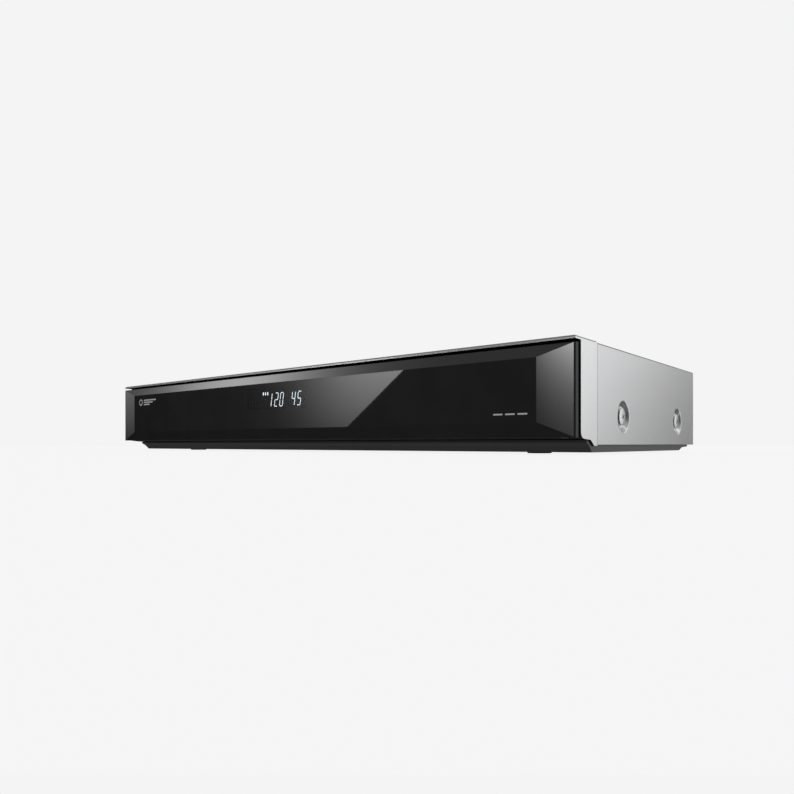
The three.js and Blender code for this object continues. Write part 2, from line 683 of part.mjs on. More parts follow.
add('front_flap', frontFlap(), glossBlack);
add('fascia', fascia(), mattBlack);
add('hinge_pin_left', hingePin().rotateZ(Math.PI), bareSteel, -hinge.x, hinge.y, hinge.z);
add('hinge_pin_right', hingePin(), bareSteel, hinge.x, hinge.y, hinge.z);
for (const [name, x] of Object.entries(buttonX)) {
  add(`${name}_button`, pushButton(), silverPlastic, x, button.y, 0);
  add(`${name}_switch_board`, buttonBoard(), boardGreen, x, button.y, 0);
}
add('display_module', displayModule(), glassDark);
add('front_board', frontBoard(), boardGreen);
add('usb_socket_front', socketShell(frontSockets.usb, frontMouth, 24, 0.6, -9, [0.9, 2.9]), bareSteel);
add('card_socket', socketShell(frontSockets.card, frontMouth, 27, 0.9, -16, null), bareSteel);
add('module_socket', socketShell(frontSockets.module, frontMouth, 33.5, 1.4, -22, null), mattBlack);
add('ribbon_cable', ribbonCable(), whitePlastic);

add('disc_tray', discTray(), mattBlack, drive.x);
add('drive_frame', driveFrame(), mattBlack, drive.x);
add('drive_bridge', driveBridge(), bareSteel, drive.x);
add('disc_clamp', discClamp(), whitePlastic, drive.x, drive.spindleY);
add('loader_deck', loaderDeck(), bareSteel, drive.x);
add('spindle_motor', spindleMotor(), bareSteel, drive.x, drive.spindleY);
add('spindle_turntable', turntable(), mattBlack, drive.x, drive.spindleY);
add('laser_sled', laserSled(), aluminium, drive.x);
add('sled_rail_left', sledRail(), bareSteel, drive.x - sled.railX, 0, sled.railZ);
add('sled_rail_right', sledRail(), bareSteel, drive.x + sled.railX, 0, sled.railZ);

add('disk_bracket', diskBracket(), darkSteel);
add('disk_base', diskBase(), aluminium);
add('disk_lid', diskLid(), bareSteel);
add('disk_platter', diskPlatter(), mirrorDisk, platter.x, platter.y);
add('disk_arm', diskArm(), aluminium, arm.x, arm.y);

add('main_board', mainBoard(), boardGreen);
add('heat_sink', heatSink(), aluminium, 18, 84, boardTop + gap);
add('tuner_module', tunerModule(), bareSteel);
aerial.xs.forEach((x, i) => add(`aerial_socket_${i + 1}`, aerialSocket(), copperTape,
  x, aerial.back, aerial.z));
add('lan_socket', socketShell(sockets.lan, 184, rearMouth, 1.9, 11, null), bareSteel);
add('usb_socket_rear', socketShell(sockets.usb, 184, rearMouth, 0.6, 9, [0.9, 2.9]), bareSteel);
add('hdmi_socket', socketShell(sockets.hdmi, 186, rearMouth, 0.5, 8, [2.4, 3.6]), bareSteel);
add('optical_socket', socketShell(sockets.optical, 186, rearMouth, 2.3, 8, null), mattBlack);

add('power_board', powerBoard(), boardGreen);
add('transformer', transformer(), copperTape, -179, 108, boardTop + gap);
add('bulk_capacitor', bulkCapacitor(), mattBlack, -180, 62, boardTop + gap);
add('mains_inlet', mainsInlet(), mattBlack);
add('fan_frame', fanFrame(), mattBlack, fan.x, 0, fan.z);
add('fan_rotor', fanRotor(), mattBlack, fan.x, 0, fan.z);

export default recorder;
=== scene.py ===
"""Looks of the home disc and hard-disk recorder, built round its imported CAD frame, in metres."""
import json
import math

import bmesh
import bpy
from mathutils import Matrix, Vector


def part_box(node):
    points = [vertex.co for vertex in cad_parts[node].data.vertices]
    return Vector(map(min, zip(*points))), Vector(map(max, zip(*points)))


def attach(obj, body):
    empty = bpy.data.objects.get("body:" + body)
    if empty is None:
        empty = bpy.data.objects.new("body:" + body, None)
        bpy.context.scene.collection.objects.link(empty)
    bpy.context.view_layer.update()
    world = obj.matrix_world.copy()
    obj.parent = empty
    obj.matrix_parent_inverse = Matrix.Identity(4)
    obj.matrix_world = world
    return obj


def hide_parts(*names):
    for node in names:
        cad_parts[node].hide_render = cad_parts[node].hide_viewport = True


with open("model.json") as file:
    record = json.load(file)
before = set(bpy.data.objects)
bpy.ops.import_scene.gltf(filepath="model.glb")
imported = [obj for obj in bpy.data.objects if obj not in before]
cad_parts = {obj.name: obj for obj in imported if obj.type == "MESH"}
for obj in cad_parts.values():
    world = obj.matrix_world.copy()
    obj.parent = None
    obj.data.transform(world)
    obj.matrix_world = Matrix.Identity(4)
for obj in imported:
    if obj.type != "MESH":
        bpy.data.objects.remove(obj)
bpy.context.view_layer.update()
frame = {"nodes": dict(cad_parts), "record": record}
record = frame["record"]
nodes = frame["nodes"]

MM = 0.001
TAU = math.tau

# ---------------------------------------------------------------- places taken from the frame
trim_low, trim_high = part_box("front_trim")
cover_low, cover_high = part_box("top_cover")
flap_low, flap_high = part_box("front_flap")
fascia_low, fascia_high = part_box("fascia")
tube_low, tube_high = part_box("display_module")

front_y = trim_low.y
base_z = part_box("base_pan")[0].z
half_width = trim_high.x

# The front flap, from the frame's own outline.
dish_depth = 1.95 * MM
print_height = 0.02 * MM
pane_y = flap_low.y + print_height
flap_front_y = front_y
flap_back_y = front_y + 3.3 * MM
flap_hollow_y = pane_y + 2.4 * MM
bevel_side = 19.6 * MM
bevel_top = 5.9 * MM
bevel_bottom = 7.5 * MM
flap_rim = 3.0 * MM
trim_under = base_z + 54.4 * MM
hinge_y = front_y + 4.6 * MM
hinge_z = base_z + 9.2 * MM
hinge_x = 207.8 * MM
window_x = (-34 * MM, 28 * MM)
window_z = (base_z + 28.5 * MM, base_z + 44.0 * MM)

# Camera of the reference view.
camera_place = Vector((339.63 * MM, front_y - 282.57 * MM, base_z + 4.26 * MM))
camera_turn = math.radians(39.649)
sensor_width = 36.0
focal_length = 28.536
vertical_shift = 0.0592


# ---------------------------------------------------------------- mesh helpers
def new_object(name, bm, *materials):
    """A scene object from a finished bmesh, with outward faces."""
    bmesh.ops.recalc_face_normals(bm, faces=bm.faces)
    mesh = bpy.data.meshes.new(name)
    bm.to_mesh(mesh)
    bm.free()
    for material in materials:
        mesh.materials.append(material)
    obj = bpy.data.objects.new(name, mesh)
    bpy.context.scene.collection.objects.link(obj)
    return obj


def soften(obj, degrees=35):
    """Smooth shading with the edges sharper than that many degrees kept crisp."""
    obj.data.shade_smooth()
    obj.data.set_sharp_from_angle(angle=math.radians(degrees))
    return obj


def level_shading(obj, degrees=30):
    """Smooth shading that keeps the large flat faces level."""
    soften(obj, degrees)
    weighted = obj.modifiers.new("level faces", "WEIGHTED_NORMAL")
    weighted.keep_sharp = True
    weighted.weight = 100
    return apply_modifiers(obj)


def apply_modifiers(obj):
    """Turns the modified shape into the mesh itself."""
    bpy.context.view_layer.update()
    graph = bpy.context.evaluated_depsgraph_get()
    mesh = bpy.data.meshes.new_from_object(obj.evaluated_get(graph))
    obj.modifiers.clear()
    obj.data = mesh
    return obj


def bevelled(obj, width, segments=3, degrees=30):
    modifier = obj.modifiers.new("rounded edges", "BEVEL")
    modifier.width = width
    modifier.segments = segments
    modifier.limit_method = "ANGLE"
    modifier.angle_limit = math.radians(degrees)
    modifier.use_clamp_overlap = True
    return obj


def carve(obj, *cutters):
    """Cuts closed objects out of another and removes them."""
    for cutter in cutters:
        modifier = obj.modifiers.new("cut", "BOOLEAN")
        modifier.operation = "DIFFERENCE"
        modifier.solver = "EXACT"
        modifier.object = cutter
    apply_modifiers(obj)
    for cutter in cutters:
        bpy.data.objects.remove(cutter)
    if not obj.data.polygons:
        raise RuntimeError(f"{obj.name} is empty after its cut")
    return obj


def add_box(bm, low, high):
    size = Vector(high) - Vector(low)
    middle = (Vector(high) + Vector(low)) / 2
    matrix = Matrix.Translation(middle) @ Matrix.Diagonal((*size, 1))
    return bmesh.ops.create_cube(bm, size=1, matrix=matrix)["verts"]


def box_object(name, low, high, *materials):
    bm = bmesh.new()
    add_box(bm, low, high)
    return new_object(name, bm, *materials)


def add_turned(bm, profile, segments=48):
    """Turns [radius, height] points, from axis to axis, about the Z axis."""
    rings = []
    for radius, height in profile:
        if radius < 1e-9:
            rings.append([bm.verts.new((0, 0, height))])
            continue
        rings.append([bm.verts.new((radius * math.cos(TAU * i / segments),
                                    radius * math.sin(TAU * i / segments), height))
                      for i in range(segments)])
    for lower, upper in zip(rings, rings[1:]):
        for i in range(segments):
            j = (i + 1) % segments
            corners = [lower[i % len(lower)], lower[j % len(lower)],
                       upper[j % len(upper)], upper[i % len(upper)]]
            unique = list(dict.fromkeys(corners))
            if len(unique) > 2:
                bm.faces.new(unique)


def turned(name, profile, material, segments=48, matrix=None):
    bm = bmesh.new()
    add_turned(bm, profile, segments)
    if matrix is not None:
        bm.transform(matrix)
    return new_object(name, bm, material)


def extruded(bm, outline, axis, start, end):
    """Carries an outline along X, Y or Z. Outline points are the other two coordinates, in order."""
    def place(point, along):
        values = list(point)
        values.insert("XYZ".index(axis), along)
        return bm.verts.new(values)
    first = [place(point, start) for point in outline]
    second = [place(point, end) for point in outline]
    count = len(outline)
    bm.faces.new(first)
    bm.faces.new(second)
    for i in range(count):
        j = (i + 1) % count
        bm.faces.new((first[i], first[j], second[j], second[i]))


def arc(centre, radius, start, end, steps):
    """Points of a round stretch, angles in degrees."""
    points = []
    for i in range(steps + 1):
        angle = math.radians(start + (end - start) * i / steps)
        points.append((centre[0] + radius * math.cos(angle), centre[1] + radius * math.sin(angle)))
    return points


# ---------------------------------------------------------------- material helpers
class Surface:
    """A Principled material with small helpers for its procedural nodes."""

    def __init__(self, name, color, roughness=0.5, metallic=0.0):
        self.material = bpy.data.materials.new(name)
        self.material.use_nodes = True
        self.tree = self.material.node_tree
        self.shader = self.tree.nodes["Principled BSDF"]
        self.color = color
        self.set("Base Color", (*color, 1))
        self.set("Roughness", roughness)
        self.set("Metallic", metallic)
        self.place = self.node("ShaderNodeTexCoord").outputs["Object"]
        self.height = None

    def set(self, socket, value):
        self.shader.inputs[socket].default_value = value

    def node(self, kind, **settings):
        made = self.tree.nodes.new(kind)
        for name, value in settings.items():
            setattr(made, name, value)
        return made

    def link(self, output, target):
        self.tree.links.new(output, target)

    def noise(self, scale, detail=2.0, stretch=(1, 1, 1)):
        mapping = self.node("ShaderNodeMapping")
        mapping.inputs["Scale"].default_value = stretch
        self.link(self.place, mapping.inputs["Vector"])
        texture = self.node("ShaderNodeTexNoise")
        texture.inputs["Scale"].default_value = scale
        texture.inputs["Detail"].default_value = detail
        self.link(mapping.outputs["Vector"], texture.inputs["Vector"])
        return texture.outputs["Fac"]

    def ranged(self, value, low, high):
        scaled = self.node("ShaderNodeMapRange")
        scaled.inputs["From Min"].default_value = 0.3
        scaled.inputs["From Max"].default_value = 0.7
        scaled.inputs["To Min"].default_value = low
        scaled.inputs["To Max"].default_value = high
        self.link(value, scaled.inputs["Value"])
        return scaled.outputs["Result"]

    def vary_roughness(self, scale, low, high, stretch=(1, 1, 1)):
        self.link(self.ranged(self.noise(scale, 3, stretch), low, high), self.shader.inputs["Roughness"])
        return self

    def vary_color(self, scale, amount, stretch=(1, 1, 1)):
        mix = self.node("ShaderNodeMix", data_type="RGBA")
        dark = [channel * (1 - amount) for channel in self.color]
        light = [min(1.0, channel * (1 + amount)) for channel in self.color]
        mix.inputs[6].default_value = (*dark, 1)
        mix.inputs[7].default_value = (*light, 1)
        self.link(self.ranged(self.noise(scale, 4, stretch), 0, 1), mix.inputs[0])
        self.link(mix.outputs[2], self.shader.inputs["Base Color"])
        return self

    def grain(self, scale, depth, strength=1.0, stretch=(1, 1, 1)):
        bump = self.node("ShaderNodeBump")
        bump.inputs["Strength"].default_value = strength
        bump.inputs["Distance"].default_value = depth
        self.link(self.noise(scale, 2, stretch), bump.inputs["Height"])
        if self.height is not None:
            self.link(self.height, bump.inputs["Normal"])
        self.height = bump.outputs["Normal"]
        self.link(self.height, self.shader.inputs["Normal"])
        return self


def satin_paint(name, color, roughness, metallic, flake=0.02):
    surface = Surface(name, color, roughness, metallic)
    surface.vary_color(2600, flake)
    surface.vary_roughness(340, roughness - 0.02, roughness + 0.02)
    surface.grain(1800, 0.00001, 0.15)
    return surface


def moulded_black(name, level, roughness):
    surface = Surface(name, (level, level, level * 1.04), roughness)
    surface.vary_color(90, 0.12)
    surface.vary_roughness(500, roughness - 0.08, roughness + 0.08)
    surface.grain(2400, 0.00005, 0.35)
    return surface


def plated_steel(name, color, roughness):
    surface = Surface(name, color, roughness, 0.95)
    surface.vary_color(60, 0.06)
    surface.vary_roughness(220, roughness - 0.08, roughness + 0.12, (1, 6, 1))
    surface.grain(700, 0.00001, 0.3, (1, 12, 1))
    return surface


# ---------------------------------------------------------------- materials, one per slot
def make_silver_trim():
    surface = satin_paint("silver_trim", (0.87, 0.875, 0.885), 0.25, 0.8, 0.02)
    return surface.material


def make_cover_metal():
    surface = satin_paint("cover_metal", (0.76, 0.765, 0.775), 0.23, 0.85, 0.03)
    return surface.material


def make_painted_shade_edge():
    """Painted shade: darker metal that runs round the top chamfer of the trim and along the cover's bends,
    standing in for the dark line these edges show in the light.
    """
    surface = Surface("painted_shade_edge", (0.36, 0.363, 0.37), 0.3, 0.9)
    surface.vary_color(900, 0.05)
    surface.vary_roughness(300, 0.26, 0.34)
    return surface.material


def make_base_metal():
    surface = satin_paint("base_metal", (0.105, 0.105, 0.108), 0.42, 0.3, 0.08)
    return surface.material


def make_rear_metal():
    surface = satin_paint("rear_metal", (0.55, 0.555, 0.565), 0.42, 0.6, 0.03)
    surface.grain(60, 0.00004, 0.2)
    return surface.material


def make_flap_gloss():
    surface = Surface("flap_gloss", (0.031, 0.031, 0.032), 0.02)
    surface.vary_color(40, 0.1)
    surface.vary_roughness(14, 0.012, 0.022)
    return surface.material


def make_window_glass():
    surface = Surface("window_glass", (0.2, 0.203, 0.206), 0.015)
    surface.set("Transmission Weight", 0.85)
    surface.set("IOR", 1.5)
    surface.vary_color(40, 0.05)
    return surface.material


def make_black_plastic():
    return moulded_black("black_plastic", 0.012, 0.5).material


def make_foot_rubber():
    return moulded_black("foot_rubber", 0.016, 0.8).material


def make_circuit_board():
    surface = Surface("circuit_board", (0.02, 0.13, 0.06), 0.35)
    surface.vary_color(160, 0.35)
    surface.vary_roughness(300, 0.25, 0.45)
    surface.grain(420, 0.00006, 0.4)
    return surface.material


def make_display_glass():
    surface = Surface("display_glass", (0.004, 0.007, 0.008), 0.06)
    surface.vary_color(240, 0.3)
    surface.vary_roughness(60, 0.04, 0.1)
    return surface.material


def make_cast_aluminium():
    surface = Surface("cast_aluminium", (0.55, 0.56, 0.57), 0.42, 0.9)
    surface.vary_color(120, 0.08)
    surface.vary_roughness(260, 0.34, 0.52)
    surface.grain(900, 0.00008, 0.4)
    return surface.material


def make_disk_mirror():
    surface = Surface("disk_mirror", (0.8, 0.8, 0.82), 0.06, 1.0)
    surface.vary_roughness(30, 0.04, 0.1)
    surface.vary_color(20, 0.03)
    return surface.material


def make_white_plastic():
    surface = Surface("white_plastic", (0.72, 0.71, 0.67), 0.5)
    surface.vary_color(80, 0.05)
    surface.vary_roughness(200, 0.42, 0.58)
    return surface.material


def make_transformer_tape():
    surface = Surface("transformer_tape", (0.62, 0.42, 0.06), 0.35)
    surface.vary_color(90, 0.12, (1, 1, 8))
    surface.vary_roughness(160, 0.25, 0.45)
    return surface.material


def make_connector_gold():
    surface = plated_steel("connector_gold", (0.72, 0.7, 0.66), 0.28)
    return surface.material


def make_print_ink():
    surface = Surface("print_ink", (0.78, 0.79, 0.8), 0.4)
    surface.vary_color(600, 0.06)
    surface.vary_roughness(500, 0.35, 0.45)
    return surface.material


def make_segment_light():
    surface = Surface("segment_light", (0.66, 0.7, 0.72), 0.5)
    surface.vary_color(900, 0.1)
    surface.set("Emission Color", (0.8, 0.9, 0.96, 1))
    surface.set("Emission Strength", 9.0)
    return surface.material


materials = {
    "silver_trim": make_silver_trim(),
    "cover_metal": make_cover_metal(),
    "base_metal": make_base_metal(),
    "rear_metal": make_rear_metal(),
    "flap_gloss": make_flap_gloss(),
    "black_plastic": make_black_plastic(),
    "foot_rubber": make_foot_rubber(),
    "screw_steel": plated_steel("screw_steel", (0.72, 0.72, 0.73), 0.3).material,
    "bare_steel": plated_steel("bare_steel", (0.6, 0.61, 0.62), 0.34).material,
    "cast_aluminium": make_cast_aluminium(),
    "circuit_board": make_circuit_board(),
    "display_glass": make_display_glass(),
    "connector_gold": make_connector_gold(),
    "white_plastic": make_white_plastic(),
    "transformer_tape": make_transformer_tape(),
    "disk_mirror": make_disk_mirror(),
}
painted_shade_edge = make_painted_shade_edge()
window_glass = make_window_glass()
print_ink = make_print_ink()
segment_light = make_segment_light()


def place_piece(obj, body):
    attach(obj, body)
    return obj


# ---------------------------------------------------------------- carried-over CAD nodes
def dress_cad_nodes():
    """Gives every CAD node its material, welded corners and finely rounded edges."""
    slots = {entry["node"]: entry["material_slot"] for entry in record["subparts"]}
    fine = 0.12 * MM
    widths = {"front_trim": 0.18 * MM, "base_pan": 0.2 * MM, "disc_tray": 0.3 * MM,
              "fascia": 0.15 * MM, "power_button": 0.3 * MM, "eject_button": 0.3 * MM}
    for name, node in nodes.items():
        node.data.materials.clear()
        node.data.materials.append(materials[slots[name]])
        node.modifiers.new("weld", "WELD").merge_threshold = 1e-6
        flat = node.modifiers.new("flat faces", "DECIMATE")
        flat.decimate_type = "DISSOLVE"
        flat.angle_limit = math.radians(1)
        bevelled(node, widths.get(name, fine), 2, 40)
        soften(node, 32)
        weighted = node.modifiers.new("level faces", "WEIGHTED_NORMAL")
        weighted.keep_sharp = True
        weighted.weight = 100


# ---------------------------------------------------------------- front flap
def rectangle(x_range, z_range, y):
    (x0, x1), (z0, z1) = x_range, z_range
    return [(x0, y, z0), (x1, y, z0), (x1, y, z1), (x0, y, z1)]


def shrunk(x_range, z_range, side, bottom, top):
    return (x_range[0] + side, x_range[1] - side), (z_range[0] + bottom, z_range[1] - top)


def make_flap_shell():
    """Closed shell of nested rectangles, from the window in the pane round the rim to its back."""
    outer = (flap_low.x, flap_high.x), (base_z + 7.4 * MM, flap_high.z)
    edge = 0.25 * MM
    pane = shrunk(*outer, bevel_side, bevel_bottom, bevel_top)
    hollow = shrunk(*outer, flap_rim, flap_rim, 2 * MM)
    proud = flap_front_y - pane_y
    lip = 0.05
    inset = [lip * bevel for bevel in (bevel_side, bevel_bottom, bevel_top)]
    loops = [
        rectangle(window_x, window_z, pane_y),
        rectangle(*pane, pane_y),
        rectangle(*shrunk(*outer, *inset), flap_front_y - lip * proud),
        rectangle(*shrunk(*outer, edge * 0.3, edge * 0.3, edge * 0.3), flap_front_y + edge * 0.3),
        rectangle(*outer, flap_front_y + edge),
        rectangle(*outer, flap_back_y - edge),
        rectangle(*shrunk(*outer, edge, edge, edge), flap_back_y),
        rectangle(*hollow, flap_back_y),
        rectangle(*hollow, flap_hollow_y),
        rectangle(window_x, window_z, flap_hollow_y),
    ]
    bm = bmesh.new()
    rings = [[bm.verts.new(point) for point in loop] for loop in loops]
    for ring, after in zip(rings, rings[1:]):
        for i in range(4):
            j = (i + 1) % 4
            bm.faces.new((ring[i], ring[j], after[j], after[i]))
    for cap in (rings[0], rings[-1]):
        bm.faces.new(cap).material_index = 1
    shell = new_object("flap_shell", bm, materials["flap_gloss"], window_glass)
    cutters = []
    for side in (-1, 1):
        xs = sorted((side * 201 * MM, side * 212 * MM))
        cutters.append(box_object("notch", (xs[0], flap_hollow_y, base_z + 6 * MM),
                                  (xs[1], flap_back_y + MM, base_z + 11.4 * MM), materials["flap_gloss"]))
    carve(shell, *cutters)
    place_piece(soften(shell, 3), "flap")
    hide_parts("front_flap")
    return shell


def make_knuckle(side):
    """Hinge eye on the back of the flap: a web and a bored round end."""
    bm = bmesh.new()
    outer_radius = 2.2 * MM
    bore_radius = 1.3 * MM
    half = 1.85 * MM
    steps = 32
    foot_y = flap_hollow_y - 0.3 * MM
    web = 1.9 * MM
    outline = []
    bore = []
    for i in range(steps):
        angle = TAU * (i + 0.5) / steps
        y, z = math.cos(angle), math.sin(angle)
        bore.append((hinge_y + bore_radius * y, hinge_z + bore_radius * z))
        if y < 0 and abs(outer_radius * z) < web:
            outline.append((foot_y, hinge_z + outer_radius * z))
        else:
            outline.append((hinge_y + outer_radius * y, hinge_z + outer_radius * z))
    rows = []
    for x in (side * hinge_x - half, side * hinge_x + half):
        rows.append([bm.verts.new((x, *point)) for point in outline])
        rows.append([bm.verts.new((x, *point)) for point in bore])
    for i in range(steps):
        j = (i + 1) % steps
        bm.faces.new((rows[0][i], rows[0][j], rows[1][j], rows[1][i]))
        bm.faces.new((rows[2][i], rows[2][j], rows[3][j], rows[3][i]))
        bm.faces.new((rows[0][i], rows[0][j], rows[2][j], rows[2][i]))
        bm.faces.new((rows[1][i], rows[1][j], rows[3][j], rows[3][i]))
    name = "flap_knuckle_right" if side > 0 else "flap_knuckle_left"
    knuckle = new_object(name, bm, materials["flap_gloss"])
    place_piece(soften(knuckle, 40), "flap")


ink_sunk = 0.05 * MM
ink_proud = print_height


def printed_bar(bm, x0, x1, z0, z1):
    """One thin printed stroke with rounded ends, on the pane's face."""
    radius = (z1 - z0) / 2
    middle = (z0 + z1) / 2
    points = arc((x1 - radius, middle), radius, -90, 90, 6) + arc((x0 + radius, middle), radius, 90, 270, 6)
    extruded(bm, points, "Y", pane_y + ink_sunk, pane_y - ink_proud)


def make_print_marks():
    """Generic wordless marks: a ring and bars at the upper left, three short bars at the lower right."""
    bm = bmesh.new()
    left = -187.0 * MM
    low = base_z + 37.6 * MM
    height = 5.6 * MM
    ring_outer = height / 2
    ring_inner = ring_outer * 0.66
    centre = (left + ring_outer, low + ring_outer)
    steps = 40
    rows = []
    for y in (pane_y + ink_sunk, pane_y - ink_proud):
        for radius in (ring_outer, ring_inner):
            rows.append([bm.verts.new((px, y, pz)) for px, pz in arc(centre, radius, 0, 360, steps)[:-1]])
    for i in range(steps):
        j = (i + 1) % steps
        for a, b in ((0, 1), (2, 3), (0, 2), (1, 3)):
            bm.faces.new((rows[a][i], rows[a][j], rows[b][j], rows[b][i]))
    bars = 3
    pitch = height / bars
    for i in range(bars):
        z0 = low + i * pitch + 0.35 * MM
        printed_bar(bm, left + height + 2 * MM, left + height + (12 + 5 * i) * MM, z0, z0 + 1.1 * MM)
    right = 171.0 * MM
    for i in range(3):
        x0 = right + i * 7.0 * MM
        printed_bar(bm, x0, x0 + 5.6 * MM, base_z + 18.9 * MM, base_z + 19.7 * MM)
    marks = new_object("print_marks", bm, print_ink)
    place_piece(marks, "flap")


# ---------------------------------------------------------------- display
SEGMENTS_OF = {"0": "abcdef", "1": "bc", "2": "abged", "4": "fgbc", "5": "afgcd"}


def make_digit(bm, text, x, z, width, height, y):
    """One slanted seven-bar digit, its low left corner at x and z."""
    stroke = 0.5 * MM
    lean = 0.16
    half = height / 2
    gap = 0.16 * MM
    bars = {
        "a": ((0, height), (width, height)), "g": ((0, half), (width, half)), "d": ((0, 0), (width, 0)),
        "f": ((0, half), (0, height)), "b": ((width, half), (width, height)),
        "e": ((0, 0), (0, half)), "c": ((width, 0), (width, half)),
    }
    for letter in SEGMENTS_OF[text]:
        start, end = Vector(bars[letter][0]), Vector(bars[letter][1])
        along = (end - start).normalized()
        across = Vector((-along.y, along.x)) * stroke / 2
        start += along * gap
        end -= along * gap
        tip = along * stroke / 2
        upper_side = [start + tip + across, end - tip + across]
        lower_side = [end - tip - across, start + tip - across]
        points = [start, *upper_side, end, *lower_side]
        outline = [(x + p.x + lean * p.y, z + p.y) for p in points]
        extruded(bm, outline, "Y", y, y + 0.05 * MM)


def make_display_segments():
    """Lit digits, and a marker of three short round-ended strokes, on the front of the display tube."""
    bm = bmesh.new()
    y = tube_low.y - 0.1 * MM
    low = base_z + 31.2 * MM
    height = 9.4 * MM
    width = 3.1 * MM
    places = [(-21.6, "1"), (-14.8, "2"), (-9.2, "0"), (3.4, "4"), (9.4, "5")]
    for x, text in places:
        make_digit(bm, text, x * MM, low, width, height, y)
    segments = new_object("display_segments", bm, segment_light)
    place_piece(segments, "root")
    marker = bmesh.new()
    stroke = 0.5 * MM
    middle = base_z + 40.6 * MM
    for i in range(3):
        x0 = (-27.6 + i * 2.5) * MM
        half = 0.7 * MM
        ends = [(x0 + stroke, middle - half), (x0 + stroke, middle + half)]
        outline = arc(ends[1], stroke, 0, 180, 6) + arc(ends[0], stroke, 180, 360, 6)
        extruded(marker, outline, "Y", y, y + 0.05 * MM)
    piece = new_object("display_marker", marker, segment_light)
    place_piece(piece, "root")


# ---------------------------------------------------------------- trim and base
def make_trim_shell():
    """Front plate chamfered round its three free upper edges, with a cheek down each side."""
    chamfer = 0.85 * MM
    under = trim_under
    cheek_front = front_y + 6.1 * MM
    rear = trim_high.y
    toe = [(cheek_front, under + 0.5 * MM), (cheek_front, base_z + 10.5 * MM)]
    toe += [(front_y + y * MM, base_z + z * MM) for y, z in ((6.4, 8.9), (7.4, 7.7), (8.9, 6.95), (11.2, 6.7),
                                                             (17.6, 6.35), (22.2, 3.33))]
    toe += [(rear, base_z + 3.33 * MM), (rear, under + 0.5 * MM)]
    cheeks = []
    for side in (-1, 1):
        bm = bmesh.new()
        xs = sorted((side * half_width, side * (half_width - 2.2 * MM)))
        extruded(bm, toe, "X", *xs)
        cheeks.append(new_object("cheek", bm, materials["silver_trim"]))
    bm = bmesh.new()
    levels = [(0, under), (0, trim_high.z - chamfer), (chamfer, trim_high.z)]
    rows = []
    for inset, z in levels:
        x = half_width - inset
        rows.append([bm.verts.new(point) for point in
                     ((-x, front_y + inset, z), (x, front_y + inset, z), (x, rear, z), (-x, rear, z))])
    for lower, upper in zip(rows, rows[1:]):
        for i in range(4):
            j = (i + 1) % 4
            bm.faces.new((lower[i], lower[j], upper[j], upper[i]))
    bm.faces.new(rows[0])
    bm.faces.new(rows[-1])
    plate = new_object("trim_shell", bm, materials["silver_trim"], materials["black_plastic"], painted_shade_edge)
    for cheek in cheeks:
        joined = plate.modifiers.new("join", "BOOLEAN")
        joined.operation = "UNION"
        joined.solver = "EXACT"
        joined.object = cheek
    apply_modifiers(plate)
    for cheek in cheeks:
        bpy.data.objects.remove(cheek)
    holes = []
    for name in ("power_button", "eject_button"):
        low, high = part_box(name)
        middle_x = (low.x + high.x) / 2
        half = 8.3 * MM
        depth = 3.5 * MM
        holes.append(box_object("hole", (middle_x - half, front_y + 15 * MM - depth, under - MM),
                                (middle_x + half, front_y + 15 * MM + depth, high.z + MM),
                                materials["silver_trim"]))
    carve(plate, *holes)
    bevelled(plate, 0.12 * MM, 2, 25)
    apply_modifiers(plate)
    hidden_x = half_width - 1.0 * MM
    # Painted shade: the faces turned down and the inner faces below the plate take black plastic, standing in
    # for the shade there; the cheeks' front faces are made black too. The top chamfer takes the darker edge
    # paint, a painted shade line.
    for face in plate.data.polygons:
        faces_down = face.normal.z < -0.6
        inner = abs(face.center.x) < hidden_x and face.center.z < under + 0.1 * MM
        front_of_cheek = face.normal.y < -0.4 and face.center.z < under - 0.1 * MM
        on_chamfer = 0.4 < face.normal.z < 0.9 and face.center.z > trim_high.z - chamfer
        if faces_down or inner or front_of_cheek:
            face.material_index = 1
        elif on_chamfer:
            face.material_index = 2
    level_shading(plate)
    place_piece(plate, "root")
    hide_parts("front_trim")


